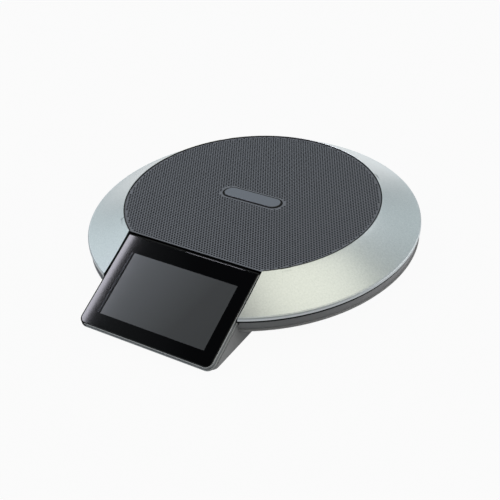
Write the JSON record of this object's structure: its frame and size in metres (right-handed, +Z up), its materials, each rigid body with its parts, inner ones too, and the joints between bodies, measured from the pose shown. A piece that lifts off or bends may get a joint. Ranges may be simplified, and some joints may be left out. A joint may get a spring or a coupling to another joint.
{
  "type": "desk ip phone",
  "caption": "Round hands-free conference phone with a perforated speaker grille, a silver sloping ring and a tilted touch display on a front wedge.",
  "frame": {"origin": "on the table, under the middle of the phone's overall length and width", "axes": "+Z up, display towards -Y, network bay towards +Y"},
  "size_m": [0.268, 0.2897, 0.0446],
  "materials": {
    "shell_plastic": "fine moulded texture",
    "ring_aluminium": "satin bead blasted",
    "grille_metal": "matt dark grey paint",
    "grille_fabric": "woven acoustic cloth",
    "badge_metal": "satin",
    "deck_plastic": "moulded",
    "bezel_plastic": "satin dark grey",
    "cover_glass": "black backed, polished",
    "gasket_foam": "closed cell foam",
    "lcd_module": "polarising film",
    "plate_steel": "plated",
    "board_laminate": "solder mask",
    "chip_plastic": "moulded",
    "screw_steel": "zinc plated",
    "flex_film": "polyimide film",
    "basket_steel": "black paint",
    "magnet_ferrite": "ground ferrite",
    "cone_paper": "pressed paper",
    "coil_copper": "enamelled copper wire",
    "surround_rubber": "moulded",
    "spider_cloth": "treated cloth",
    "capacitor_aluminium": "drawn can",
    "connector_plastic": "moulded",
    "key_plastic": "moulded",
    "port_plastic": "moulded",
    "boot_rubber": "moulded",
    "foot_rubber": "moulded"
  },
  "bodies": {
    "phone": {"base_shell": "shell_plastic", "ring_cover": "ring_aluminium", "grille_plate": "grille_metal", "grille_cloth": "grille_fabric", "badge_plate": "badge_metal", "speaker_deck": "deck_plastic", "display_bezel": "bezel_plastic", "touch_glass": "cover_glass", "display_gasket": "gasket_foam", "chamber_seal": "gasket_foam", "speaker_gasket": "gasket_foam", "lcd_panel": "lcd_module", "display_bracket": "plate_steel", "speaker_top_plate": "plate_steel", "speaker_yoke": "plate_steel", "shield_can": "plate_steel", "network_jack": "plate_steel", "display_board": "board_laminate", "main_board": "board_laminate", "display_chips": "chip_plastic", "board_chips": "chip_plastic", "board_transformer": "chip_plastic", "reset_switch": "chip_plastic", "display_screws": "screw_steel", "speaker_screws": "screw_steel", "board_screws": "screw_steel", "base_screws": "screw_steel", "ring_screws": "screw_steel", "display_ribbon": "flex_film", "mic_harness": "flex_film", "speaker_basket": "basket_steel", "speaker_magnet": "magnet_ferrite", "speaker_surround": "surround_rubber", "speaker_spider": "spider_cloth", "board_capacitors": "capacitor_aluminium", "mic_capsule_1": "capacitor_aluminium", "mic_capsule_2": "capacitor_aluminium", "mic_capsule_3": "capacitor_aluminium", "mic_capsule_4": "capacitor_aluminium", "board_connectors": "connector_plastic", "mic_port_1": "port_plastic", "mic_port_2": "port_plastic", "mic_port_3": "port_plastic", "mic_port_4": "port_plastic", "mic_boot_1": "boot_rubber", "mic_boot_2": "boot_rubber", "mic_boot_3": "boot_rubber", "mic_boot_4": "boot_rubber", "base_foot_1": "foot_rubber", "base_foot_2": "foot_rubber", "base_foot_3": "foot_rubber", "base_foot_4": "foot_rubber", "front_foot_1": "foot_rubber", "front_foot_2": "foot_rubber"},
    "cone": {"speaker_cone": "cone_paper", "speaker_dust_cap": "cone_paper", "voice_coil": "coil_copper"},
    "reset": {"reset_key": "key_plastic"}
  },
  "joints": [
    {"name": "cone_travel", "type": "slide", "parent": "phone", "child": "cone", "axis": [0, 0, 1], "range_m": [-0.0025, 0.0025], "stiffness_N_per_m": 600, "deforming": ["speaker_surround", "speaker_spider"]},
    {"name": "reset_press", "type": "slide", "parent": "phone", "child": "reset", "axis": [0, -1, 0], "range_m": [0, 0.0005], "stiffness_N_per_m": 2000}
  ]
}
